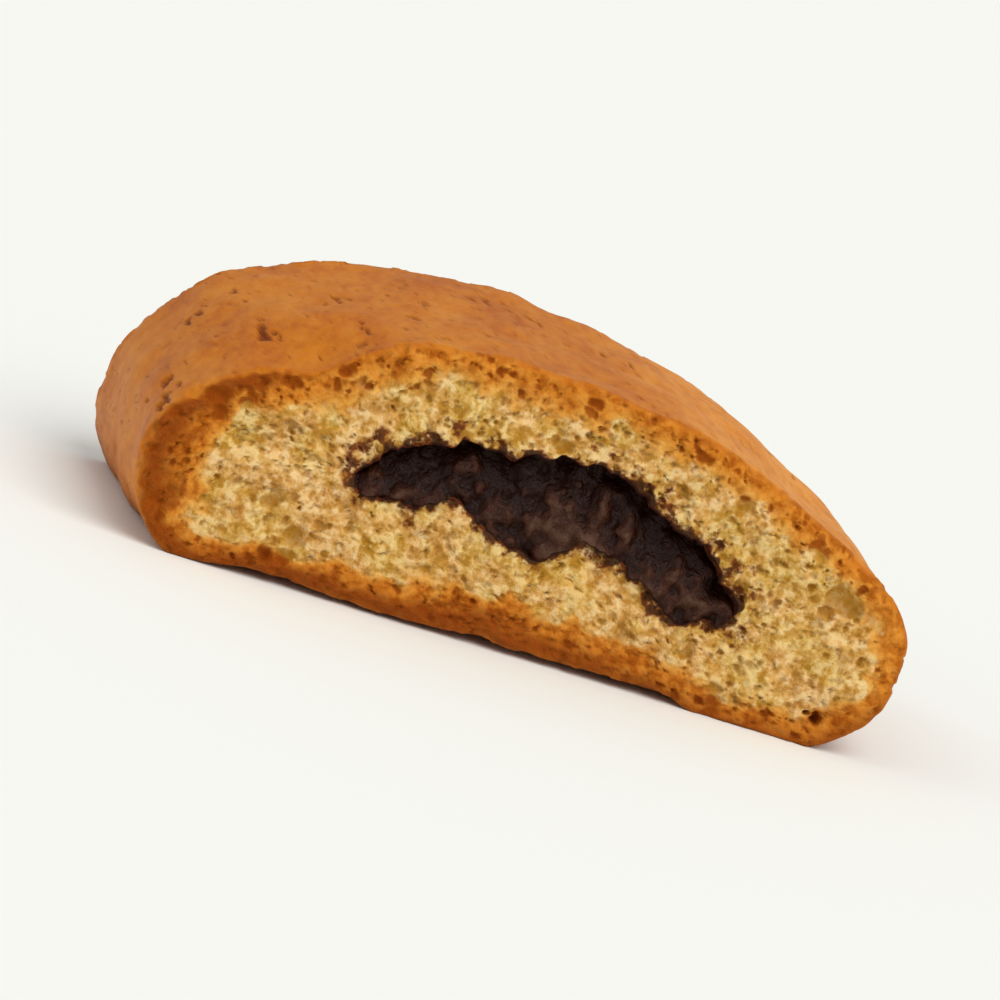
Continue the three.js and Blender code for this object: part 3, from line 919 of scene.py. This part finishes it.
def floor_material():
    """The pale floor of the studio."""
    n = Nodes("pale floor")
    n.set_all_over(Base_Color=linear(*FLOOR), Roughness=FLOOR_ROUGHNESS, Specular_IOR_Level=FLOOR_SPECULAR)
    return n.material


def towards(azimuth, elevation):
    """The direction from the slice to a place seen at azimuth and elevation, in degrees."""
    a, e = math.radians(azimuth), math.radians(elevation)
    return Vector((math.sin(a) * math.cos(e), -math.cos(a) * math.cos(e), math.sin(e)))


def facing_back(back):
    """The turn of a camera or light that looks from back towards the middle."""
    return (-back).to_track_quat("-Z", "Y").to_matrix().to_4x4()


def make_camera():
    data = bpy.data.cameras.new("camera")
    data.lens = CAMERA_LENS
    data.clip_start, data.clip_end = CAMERA_NEAR, CAMERA_FAR
    camera = bpy.data.objects.new("camera", data)
    bpy.context.scene.collection.objects.link(camera)
    back = towards(CAMERA_AZIMUTH, CAMERA_ELEVATION)
    roll = Matrix.Rotation(math.radians(CAMERA_ROLL), 4, "Z")
    camera.matrix_world = Matrix.Translation(CAMERA_AIM + back * CAMERA_DISTANCE) @ facing_back(back) @ roll
    bpy.context.scene.camera = camera


def make_light(name, azimuth, elevation, width, strength, colour):
    """A wide, soft and distant light, so that the floor is evenly lit."""
    data = bpy.data.lights.new(name, "SUN")
    data.angle = math.radians(width)
    data.energy = strength
    data.color = colour
    light = bpy.data.objects.new(name, data)
    bpy.context.scene.collection.objects.link(light)
    light.matrix_world = facing_back(towards(azimuth, elevation))


def make_studio():
    """A pale floor, soft lights and a pale surrounding."""
    corners = [(x * FLOOR_REACH, y * FLOOR_REACH, 0) for x, y in ((-1, -1), (1, -1), (1, 1), (-1, 1))]
    mesh = bpy.data.meshes.new("floor")
    mesh.from_pydata(corners, [], [(0, 1, 2, 3)])
    floor = bpy.data.objects.new("floor", mesh)
    bpy.context.scene.collection.objects.link(floor)
    floor.data.materials.append(floor_material())
    world = bpy.data.worlds.new("studio")
    world.use_nodes = True
    background = world.node_tree.nodes["Background"]
    background.inputs["Color"].default_value = SKY_COLOUR
    background.inputs["Strength"].default_value = SKY_STRENGTH
    bpy.context.scene.world = world
    make_light("key", *KEY_LIGHT)
    make_light("fill", *FILL_LIGHT)


def dress(piece, node, material):
    """Gives a piece its material, its body and the node that it replaces."""
    piece.data.materials.append(material)
    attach(piece, "root")
    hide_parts(node)


make_camera()
dress(Dough().build(), "dough", dough_material())
dress(make_paste(), "filling", paste_material())
make_studio()
bpy.context.scene.view_settings.view_transform = "Standard"
